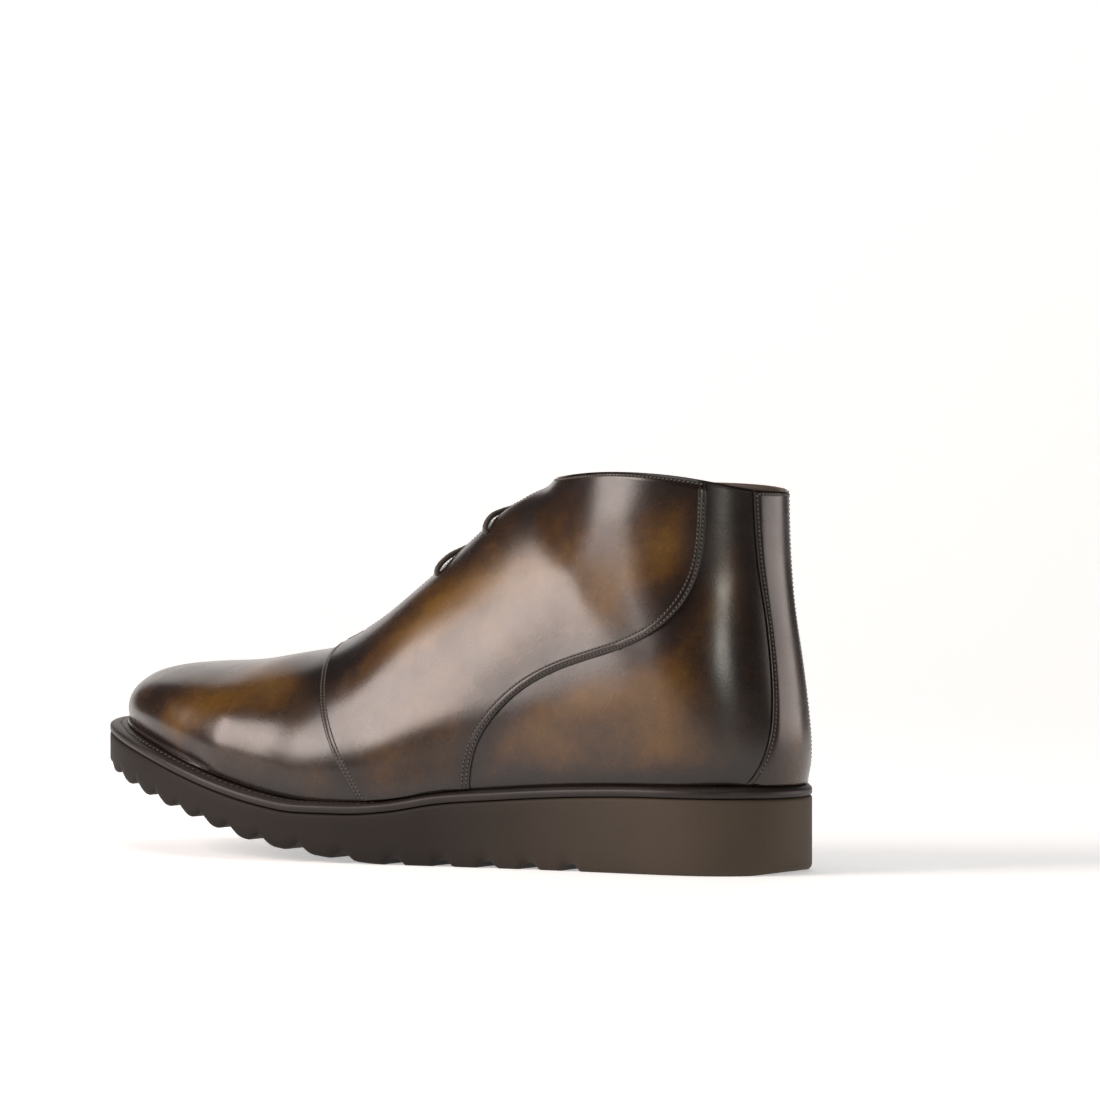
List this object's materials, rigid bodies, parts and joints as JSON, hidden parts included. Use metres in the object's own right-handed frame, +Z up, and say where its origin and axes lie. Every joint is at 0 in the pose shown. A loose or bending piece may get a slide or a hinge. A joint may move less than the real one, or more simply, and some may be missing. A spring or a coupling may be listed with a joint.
{
  "type": "chukka boot",
  "caption": "Low ankle boot with plain vamp, lapped side panels, curved counter seam, back strip, round lace and a rippled wedge sole.",
  "frame": {"origin": "on the floor, under the middle of the whole boot's box", "axes": "+X towards the toe, +Y towards the outer side of the left foot, +Z up"},
  "size_m": [0.305, 0.104, 0.1416],
  "materials": {
    "sole_rubber": "matt dark brown light rubber",
    "welt_leather": "dark brown edge, waxed",
    "insole_leather": "plain dark brown",
    "upper_leather": "hand-stained cognac and dark brown, polished",
    "quarter_leather": "hand-stained brown, polished",
    "strip_leather": "dark brown, polished",
    "tongue_leather": "soft dark brown",
    "lace_cord": "round waxed cord, dark brown"
  },
  "bodies": {
    "root": {"outsole": "sole_rubber", "welt": "welt_leather", "insole": "insole_leather", "upper": "upper_leather", "quarter_lateral": "quarter_leather", "quarter_medial": "quarter_leather", "back_strip": "strip_leather", "tongue": "tongue_leather", "lace": "lace_cord"}
  },
  "joints": []
}
